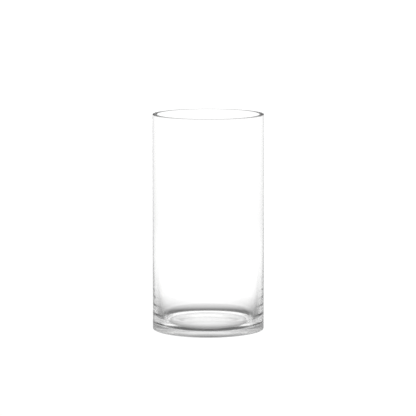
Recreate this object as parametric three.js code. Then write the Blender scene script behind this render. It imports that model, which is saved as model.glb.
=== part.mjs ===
// Clear glass cylinder vase: an upright parallel-sided tube, open at the top, whose wall thickens towards a flat
// floor with a sloping inside corner. Underneath, a shallow hollow leaves a flat ring to stand on. It has no moving parts.
// Millimetres, +Z up. The origin is the centre of the flat ring that the vase stands on.
import * as THREE from "three";

// Driving dimensions
const HEIGHT = 200;            // standing ring to rim
const OUTER_RADIUS = 51.5;     // straight outside wall, 103 mm across
const WALL = 4.3;              // wall thickness well above the base
const WALL_SWELL = 6.1;        // how much thicker the wall would be at the standing ring
const SWELL_HEIGHT = 26;       // the extra thickness falls to a third over this height
const FLOOR = 4.4;             // glass under the inside floor, measured to the standing ring
const CORNER_WIDTH = 5.2;      // inside corner, measured in from the inner wall
const CORNER_HEIGHT = 9.3;     // inside corner, measured up from the floor
const CORNER_POWER = 1.6;      // 2 is an ellipse, and 1 is a straight bevel
const HOLLOW = 0.5;            // rise of the underside at its middle
const FOOT_RADIUS = 36;        // inner edge of the standing ring
const HEEL_RADIUS = 0.4;       // rounded outside edge of the base
const RIM_RADIUS = 0.4;        // polished edges of the flat rim
const JOINT_HEIGHT = 60;       // the wall tube is fused to the base at this height
const SEGMENTS = 96;           // facets round the axis
const CORNER_STEPS = 12;       // facets along the inside corner
const SWELL_STEPS = 8;         // facets along the thickening wall
const TUBE_STEPS = 4;          // facets along the upper inner wall
const HOLLOW_STEPS = 8;        // facets along the hollow underside
const EDGE_STEPS = 3;          // facets along each small rounded edge

const CORNER_TOP = FLOOR + CORNER_HEIGHT;
const innerRadiusAt = (height) => OUTER_RADIUS - WALL - WALL_SWELL * Math.exp(-height / SWELL_HEIGHT);

const point = (radius, height) => new THREE.Vector2(radius, height);

// A quarter circle about (radius, height) from one angle to another, in degrees from the outward direction.
function quarterRound(radius, height, size, fromDegrees, toDegrees) {
  return Array.from({ length: EDGE_STEPS + 1 }, (_, step) => {
    const angle = THREE.MathUtils.degToRad(fromDegrees + ((toDegrees - fromDegrees) * step) / EDGE_STEPS);
    return point(radius + size * Math.cos(angle), height + size * Math.sin(angle));
  });
}

// Points at even steps from one value to another, both included.
function stepped(from, to, steps, toPoint) {
  return Array.from({ length: steps + 1 }, (_, step) => toPoint(from + ((to - from) * step) / steps));
}

// The underside, from its raised middle out to the standing ring.
const hollow = () => stepped(0, FOOT_RADIUS, HOLLOW_STEPS, (radius) =>
  point(radius, (HOLLOW / 2) * (1 + Math.cos((Math.PI * radius) / FOOT_RADIUS))));

// A stretch of the inner wall, from one height to another.
const innerWall = (from, to, steps) => stepped(from, to, steps, (height) => point(innerRadiusAt(height), height));

// The inside corner, from the inner wall down to the floor, as a quarter of a superellipse.
function insideCorner() {
  const centre = innerRadiusAt(CORNER_TOP) - CORNER_WIDTH;
  return stepped(0, Math.PI / 2, CORNER_STEPS, (angle) => {
    const out = Math.cos(angle) ** (2 / CORNER_POWER);
    const down = Math.sin(angle) ** (2 / CORNER_POWER);
    return point(centre + CORNER_WIDTH * out, CORNER_TOP - CORNER_HEIGHT * down);
  }).slice(1);
}

// A solid of revolution about the vertical axis, from an outline that runs anticlockwise in (radius, height).
function turned(name, outline, material) {
  const geometry = new THREE.LatheGeometry(outline, SEGMENTS);
  geometry.rotateX(Math.PI / 2);
  const mesh = new THREE.Mesh(geometry, material);
  mesh.name = name;
  return mesh;
}

function clearGlass() {
  return new THREE.MeshStandardMaterial({ color: 0xf4f7f6, roughness: 0.02, metalness: 0 });
}

// Base with the thickened lower wall: hollow underneath, rounded at the heel, and curved in to the inside floor.
function baseCup() {
  const outline = [
    ...hollow(),
    ...quarterRound(OUTER_RADIUS - HEEL_RADIUS, HEEL_RADIUS, HEEL_RADIUS, -90, 0),
    point(OUTER_RADIUS, JOINT_HEIGHT),
    ...innerWall(JOINT_HEIGHT, CORNER_TOP, SWELL_STEPS),
    ...insideCorner(),
    point(0, FLOOR),
  ];
  return turned("base_cup", outline, clearGlass());
}

// Upper wall, open through its whole length, with a flat rim and polished rim edges.
function wallTube() {
  const rimFlat = HEIGHT - RIM_RADIUS;
  const outline = [
    point(OUTER_RADIUS, JOINT_HEIGHT),
    ...quarterRound(OUTER_RADIUS - RIM_RADIUS, rimFlat, RIM_RADIUS, 0, 90),
    ...quarterRound(innerRadiusAt(rimFlat) + RIM_RADIUS, rimFlat, RIM_RADIUS, 90, 180).slice(0, -1),
    ...innerWall(rimFlat, JOINT_HEIGHT, TUBE_STEPS),
    point(OUTER_RADIUS, JOINT_HEIGHT),
  ];
  return turned("wall_tube", outline, clearGlass());
}

const vase = new THREE.Group();
vase.add(baseCup(), wallTube());

export default vase;
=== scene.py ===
"""Clear glass cylinder vase on a pale studio table. Metres, +Z up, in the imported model's frame."""

import math

import bpy
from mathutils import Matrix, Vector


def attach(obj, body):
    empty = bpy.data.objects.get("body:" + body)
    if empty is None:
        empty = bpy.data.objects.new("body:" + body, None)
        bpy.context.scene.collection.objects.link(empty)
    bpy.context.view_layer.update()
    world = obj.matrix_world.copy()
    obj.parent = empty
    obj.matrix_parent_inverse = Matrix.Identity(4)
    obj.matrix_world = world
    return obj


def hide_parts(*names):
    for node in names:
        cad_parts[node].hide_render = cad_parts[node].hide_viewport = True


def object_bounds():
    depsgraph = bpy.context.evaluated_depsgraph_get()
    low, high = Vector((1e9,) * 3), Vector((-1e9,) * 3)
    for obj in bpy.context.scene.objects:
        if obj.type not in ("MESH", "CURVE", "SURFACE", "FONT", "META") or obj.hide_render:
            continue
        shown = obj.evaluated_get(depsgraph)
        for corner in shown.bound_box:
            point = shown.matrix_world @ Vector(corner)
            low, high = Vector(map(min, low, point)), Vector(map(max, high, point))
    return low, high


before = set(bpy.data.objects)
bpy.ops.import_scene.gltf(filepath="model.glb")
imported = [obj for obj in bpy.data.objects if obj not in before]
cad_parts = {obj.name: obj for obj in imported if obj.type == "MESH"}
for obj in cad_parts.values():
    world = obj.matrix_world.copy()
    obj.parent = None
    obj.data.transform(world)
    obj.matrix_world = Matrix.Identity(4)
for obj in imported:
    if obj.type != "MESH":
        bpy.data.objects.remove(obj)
CAD_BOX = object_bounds()

MM = 0.001

# The vase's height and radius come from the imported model, and its glass section repeats the section made there.
HEIGHT = CAD_BOX[1].z
RADIUS = CAD_BOX[1].x
WALL = 4.3 * MM                       # wall thickness well above the base
WALL_SWELL = 6.1 * MM                 # how much thicker the wall would be at the table
SWELL_HEIGHT = 26 * MM                # the swell falls to a third over this height
FLOOR = 4.4 * MM                      # glass under the inside floor, measured to the standing ring
CORNER_WIDTH = 5.2 * MM               # inside corner, measured in from the inner wall
CORNER_HEIGHT = 9.3 * MM              # inside corner, measured up from the floor
CORNER_POWER = 1.6                    # 2 is an ellipse, and 1 is a straight bevel
HOLLOW = 0.5 * MM                     # rise of the underside at its middle
FOOT = 36 * MM                        # inner radius of the flat ring that the vase stands on
HEEL = 0.4 * MM                       # rounded outside edge of the base
RIM_EDGE = 0.4 * MM                   # polished edges of the flat rim

# How finely the section and the turn round the axis are divided
SEGMENTS = 256                        # round the axis
SUPPORT = 0.03 * MM                   # a ring this close to a rounded edge keeps its flat neighbour flat
HOLLOW_STEPS = 64
RING_STEPS = 4
HEEL_STEPS = 12
OUTER_WALL_STEPS = 40
RIM_STEPS = 8
NEAR_RIM = 30 * MM                    # the inner wall's rings draw closer to the rim over this stretch
NEAR_RIM_STEPS = 12
INNER_WALL_STEPS = 120
CORNER_STEPS = 48
FLOOR_STEPS = 16
ON_AXIS = 1e-7                        # a point closer to the axis than this is on it


def wall_at(z):
    """Wall thickness at a height."""
    return WALL + WALL_SWELL * math.exp(-z / SWELL_HEIGHT)


def quarter_round(r, z, size, start, end, steps):
    """Points on a quarter circle about (r, z), between two angles in degrees from the outward direction."""
    angles = [math.radians(start + (end - start) * i / steps) for i in range(steps + 1)]
    return [(r + size * math.cos(a), z + size * math.sin(a)) for a in angles]


def straight(start, end, steps):
    """Points between two points, without either."""
    return [tuple(a + (b - a) * i / steps for a, b in zip(start, end)) for i in range(1, steps)]


def outside():
    """The outer surface, from the middle underneath to the outer edge of the rim."""
    radii = [FOOT * i / HOLLOW_STEPS for i in range(HOLLOW_STEPS + 1)]
    under = [(r, HOLLOW / 2 * (1 + math.cos(math.pi * r / FOOT))) for r in radii]
    heel = quarter_round(RADIUS - HEEL, HEEL, HEEL, -90, 0, HEEL_STEPS)
    rim = quarter_round(RADIUS - RIM_EDGE, HEIGHT - RIM_EDGE, RIM_EDGE, 0, 90, RIM_STEPS)
    flat = (RADIUS - HEEL - SUPPORT, 0)
    ring = [*straight((FOOT, 0), flat, RING_STEPS), flat]
    low, high = (RADIUS, HEEL + SUPPORT), (RADIUS, HEIGHT - RIM_EDGE - SUPPORT)
    return [*under, *ring, *heel, low, *straight(low, high, OUTER_WALL_STEPS), high, *rim]


def inside():
    """The inner surface, from the inner edge of the rim to the middle of the inside floor."""
    rim_wall = RADIUS - wall_at(HEIGHT)
    rim = quarter_round(rim_wall + RIM_EDGE, HEIGHT - RIM_EDGE, RIM_EDGE, 90, 180, RIM_STEPS)
    top, bottom = HEIGHT - RIM_EDGE - SUPPORT, FLOOR + CORNER_HEIGHT
    levels = [top - NEAR_RIM * (i / NEAR_RIM_STEPS) ** 2 for i in range(NEAR_RIM_STEPS)]
    drop = bottom - top + NEAR_RIM
    levels += [top - NEAR_RIM + drop * i / INNER_WALL_STEPS for i in range(INNER_WALL_STEPS + 1)]
    wall = [(RADIUS - wall_at(z), z) for z in levels]
    corner_in = RADIUS - wall_at(bottom) - CORNER_WIDTH
    corner = []
    for i in range(1, CORNER_STEPS + 1):
        a = math.radians(90 * i / CORNER_STEPS)
        out, down = math.cos(a) ** (2 / CORNER_POWER), math.sin(a) ** (2 / CORNER_POWER)
        corner.append((corner_in + CORNER_WIDTH * out, bottom - CORNER_HEIGHT * down))
    floor = [(corner_in * (1 - i / FLOOR_STEPS), FLOOR) for i in range(1, FLOOR_STEPS + 1)]
    return [*rim, *wall, *corner, *floor]


def turned(name, outline):
    """A closed mesh turned round the axis from an outline that starts and ends on the axis."""
    rings, verts = [], []
    for r, z in outline:
        count = 1 if r < ON_AXIS else SEGMENTS
        rings.append(list(range(len(verts), len(verts) + count)))
        turns = [2 * math.pi * j / SEGMENTS for j in range(count)]
        verts += [(r * math.cos(t), r * math.sin(t), z) for t in turns]
    faces = []
    for a, b in zip(rings, rings[1:]):
        for j in range(SEGMENTS):
            k = (j + 1) % SEGMENTS
            if len(a) == 1:
                faces.append((a[0], b[k], b[j]))
            elif len(b) == 1:
                faces.append((a[j], a[k], b[0]))
            else:
                faces.append((a[j], a[k], b[k], b[j]))
    mesh = bpy.data.meshes.new(name)
    mesh.from_pydata(verts, [], faces)
    mesh.shade_smooth()
    piece = bpy.data.objects.new(name, mesh)
    bpy.context.scene.collection.objects.link(piece)
    return piece


# Materials

class Nodes:
    """A short way to write a node tree: add makes a node, sets its inputs, and links those that are sockets."""

    def __init__(self, tree):
        self.tree = tree
        tree.nodes.clear()

    def add(self, kind, inputs=(), **settings):
        node = self.tree.nodes.new("ShaderNode" + kind)
        for name, value in settings.items():
            setattr(node, name, value)
        for key, value in dict(inputs).items():
            if isinstance(value, bpy.types.NodeSocket):
                self.tree.links.new(value, node.inputs[key])
            else:
                node.inputs[key].default_value = value
        return node

    def maths(self, operation, *values, clamp=False):
        return self.add("Math", dict(enumerate(values)), operation=operation, use_clamp=clamp).outputs[0]

    def mix(self, factor, first, second):
        return self.add("Mix", {0: factor, 2: first, 3: second}, data_type="FLOAT").outputs[0]

    def ramp(self, factor, stops):
        node = self.add("ValToRGB", {0: factor})
        elements = node.color_ramp.elements
        elements.remove(elements[1])
        for i, (position, value) in enumerate(stops):
            element = elements[0] if i == 0 else elements.new(position)
            element.position = position
            element.color = (value, value, value, 1)
        return node.outputs[0]


GLASS_IOR = 1.52
GLASS_TINT = 0.15                     # light lost inside the glass, per metre
POLISH = 0.04                         # roughness of the polished glass
WAVE_HEIGHT = 0.015 * MM              # of the slow waves in the glass surface
WAVES_PER_METRE = (26, 26, 9)         # across, across and up
WAVE_DETAIL = 1.5
WAVE_FADE = 0.4                       # strength of each finer layer of waves beside the one before
SCUFF_TOP = 0.01 * MM                 # scuffs reach no higher than this
SCUFF_SIZE = 0.8 * MM
SCUFF_DETAIL = 3
SCUFF_FADE = 0.6                      # strength of each finer layer of scuffs beside the one before
SCUFF_LEVEL = 0.6                     # the glass is scuffed where the noise is above this
SCUFF_ROUGHNESS = 0.2                 # how much rougher a scuff is than the polished glass


def clear_glass():
    """Clear polished glass with slow waves in its surface, and scuffs on the ring that it stands on."""
    material = bpy.data.materials.new("clear_glass")
    material.use_nodes = True
    n = Nodes(material.node_tree)
    place = n.add("TexCoord").outputs["Object"]
    # Slow waves of drawn glass, longer up the wall than round it.
    stretched = n.add("Mapping", {"Vector": place, "Scale": WAVES_PER_METRE}).outputs[0]
    waves = n.add("TexNoise", {
        "Vector": stretched, "Scale": 1, "Detail": WAVE_DETAIL, "Roughness": WAVE_FADE}).outputs[0]
    bump = n.add("Bump", {"Height": waves, "Strength": 1, "Distance": WAVE_HEIGHT})
    # Fine scuffs where the glass has stood: only on the flat ring underneath.
    low = n.maths("LESS_THAN", n.add("SeparateXYZ", {0: place}).outputs[2], SCUFF_TOP)
    specks = n.add("TexNoise", {
        "Vector": place, "Scale": 1 / SCUFF_SIZE, "Detail": SCUFF_DETAIL, "Roughness": SCUFF_FADE}).outputs[0]
    scuffed = n.maths("MULTIPLY", low, n.maths("GREATER_THAN", specks, SCUFF_LEVEL))
    rough = n.maths("MULTIPLY_ADD", scuffed, SCUFF_ROUGHNESS, POLISH)
    glass = n.add("BsdfPrincipled", {
        "Base Color": (1, 1, 1, 1), "Roughness": rough, "IOR": GLASS_IOR, "Transmission Weight": 1,
        "Normal": bump.outputs[0]})
    depth = n.add("VolumeAbsorption", {"Color": (0, 0, 0, 1), "Density": GLASS_TINT})
    n.add("OutputMaterial", {"Surface": glass.outputs[0], "Volume": depth.outputs[0]})
    return material


vase = turned("vase_glass", outside() + inside())
vase.data.materials.append(clear_glass())
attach(vase, "root")
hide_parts("base_cup", "wall_tube")


# Studio. Seen directly, the table is pale and has no rings, and the room is white. Through the glass and in it,
# the table's glow has painted rings of shadow and light round the vase and painted shade at its sides, and the
# room has bands by height.

TABLE_REACH = 40                      # metres from the middle of the table to each side
TABLE_DROP = 0.3 * MM                 # air gap between the standing ring and the table
TABLE_FAR = 0.6                       # brightness of the table seen directly from above
TABLE_PAINTED_SHEEN = 0.9                     # painted sheen: glow added at the lowest angles
SHEEN_BLEND = 0.5
SHEEN_POWER = 3                       # how fast the painted sheen fades as the view rises
TABLE_IN_GLASS = 0.35                 # share of the table's light that reflections show, which paints shade into the glass's edges
PAINTED_SIDE_SHADE = 0.8                      # painted shade: how much darker the table's glow is at either side of the vase
SIDE_POWER = 4                        # how narrow the dark sides are
SIDE_START = 60 * MM                  # inside this distance from the axis the dark sides fade out
SIDE_REACH = 500 * MM                 # past this distance the sides are as light as the rest

# Distance from the axis in millimetres, and the table's brightness there as seen through the glass: painted light
# under the middle and a painted contact shadow round the foot
TABLE_PAINTED_RINGS = [
    (0, 1.0), (22, 0.5), (36, 0.14), (45, 0.07), (50, 0.2), (53, 0), (57, 0), (60, 0.16), (66, 0.4), (75, 0.5),
    (90, 0.64), (130, 0.82), (250, 0.74), (700, 0.51)]

# Height above the horizon in degrees, and the room's brightness there as seen through the glass
ROOM = [
    (0, 0.98), (3, 0.98), (4.5, 0.05), (9, 0.16), (14, 0.96), (19, 0.96), (25, 0.32), (36, 1.12), (50, 1.28),
    (65, 1.44), (80, 1.04), (90, 0.84)]
ROOM_SEEN = 1.0                       # the room's brightness seen directly


def table():
    """Large table just under the vase, which gives off its own light, with a painted sheen at low angles and,
    seen through the glass, painted rings of shadow and light and painted shade at its sides.
    """
    material = bpy.data.materials.new("table")
    material.use_nodes = True
    n = Nodes(material.node_tree)
    place = n.add("NewGeometry").outputs["Position"]
    flat = n.add("VectorMath", {0: place, 1: (1, 1, 0)}, operation="MULTIPLY").outputs[0]
    away = n.add("VectorMath", {0: flat}, operation="LENGTH").outputs["Value"]
    # Painted rings of shadow and light round the vase: a painted contact shadow round the foot and painted light
    # under its middle.
    reach = TABLE_PAINTED_RINGS[-1][0]
    painted_light_and_shade = n.ramp(n.maths("DIVIDE", away, reach * MM), [(r / reach, v) for r, v in TABLE_PAINTED_RINGS])
    # Painted shade at the sides along X, strongest close to the vase.
    across = n.add("SeparateXYZ", {0: place}).outputs[0]
    sideways = n.maths("DIVIDE", across, n.maths("MAXIMUM", away, SIDE_START))
    to_side = n.maths("POWER", n.maths("ABSOLUTE", sideways), SIDE_POWER)
    close = n.maths("SUBTRACT", 1, n.maths("DIVIDE", away, SIDE_REACH), clamp=True)
    painted_side_shade = n.maths("MULTIPLY_ADD", n.maths("MULTIPLY", to_side, close), -PAINTED_SIDE_SHADE, 1)
    painted_light_and_shade = n.maths("MULTIPLY", painted_light_and_shade, painted_side_shade)
    # One brightness where the table is seen directly.
    path = n.add("LightPath")
    level = n.mix(path.outputs["Is Camera Ray"], painted_light_and_shade, TABLE_FAR)
    # Painted sheen: the glow grows at low angles to the table.
    facing = n.add("LayerWeight", {"Blend": SHEEN_BLEND}).outputs["Facing"]
    lit = n.maths("MULTIPLY_ADD", n.maths("POWER", facing, SHEEN_POWER), TABLE_PAINTED_SHEEN, level)
    dim = n.mix(path.outputs["Is Reflection Ray"], 1.0, TABLE_IN_GLASS)
    light = n.add("Emission", {"Strength": n.maths("MULTIPLY", lit, dim)})
    n.add("OutputMaterial", {"Surface": light.outputs[0]})
    material.cycles.emission_sampling = "NONE"
    signs = ((-1, -1), (1, -1), (1, 1), (-1, 1))
    corners = [(x * TABLE_REACH, y * TABLE_REACH, -TABLE_DROP) for x, y in signs]
    mesh = bpy.data.meshes.new("table")
    mesh.from_pydata(corners, [], [(0, 1, 2, 3)])
    mesh.materials.append(material)
    top = bpy.data.objects.new("table", mesh)
    bpy.context.scene.collection.objects.link(top)


def studio_light():
    """White room to the camera. Through the glass, bright and dim bands by height above the horizon."""
    world = bpy.data.worlds.new("studio")
    bpy.context.scene.world = world
    world.use_nodes = True
    world.cycles.sampling_method = "NONE"
    n = Nodes(world.node_tree)
    up = n.add("SeparateXYZ", {0: n.add("TexCoord").outputs["Generated"]}).outputs[2]
    height = n.maths("DIVIDE", n.maths("ARCSINE", up), math.pi / 2, clamp=True)
    room = n.ramp(height, [(degrees / 90, v) for degrees, v in ROOM])
    light = n.mix(n.add("LightPath").outputs["Is Camera Ray"], room, ROOM_SEEN)
    background = n.add("Background", {"Color": (1, 1, 1, 1), "Strength": light})
    n.add("OutputWorld", {"Surface": background.outputs[0]})


table()
studio_light()


# Camera

EYE_BACK = 2.498                      # metres in front of the vase's axis
EYE_HEIGHT = 0.4474                   # metres above the ring that the vase stands on
EYE_DOWN = 7.634                      # degrees below level
LENS = 235.8                          # millimetres, with the sensor's width
SENSOR = 36
SHIFT_X = -0.00065


def camera():
    """A long lens above the rim's height, looking slightly down."""
    lens = bpy.data.cameras.new("camera")
    lens.sensor_width = SENSOR
    lens.lens = LENS
    lens.shift_x = SHIFT_X
    eye = bpy.data.objects.new("camera", lens)
    eye.location = (0, -EYE_BACK, EYE_HEIGHT)
    eye.rotation_euler = (math.radians(90 - EYE_DOWN), 0, 0)
    bpy.context.scene.collection.objects.link(eye)
    bpy.context.scene.camera = eye


camera()

BOUNCES = 40                          # enough for light that runs round inside the glass
PIXEL_SOFTNESS = 1.9                  # width of the pixel filter

scene = bpy.context.scene
scene.view_settings.view_transform = "Standard"
scene.cycles.max_bounces = BOUNCES
scene.cycles.transmission_bounces = BOUNCES
scene.cycles.glossy_bounces = BOUNCES
scene.cycles.transparent_max_bounces = BOUNCES
scene.cycles.use_denoising = True
scene.cycles.blur_glossy = 0
scene.cycles.filter_width = PIXEL_SOFTNESS
scene.cycles.sample_clamp_indirect = 0
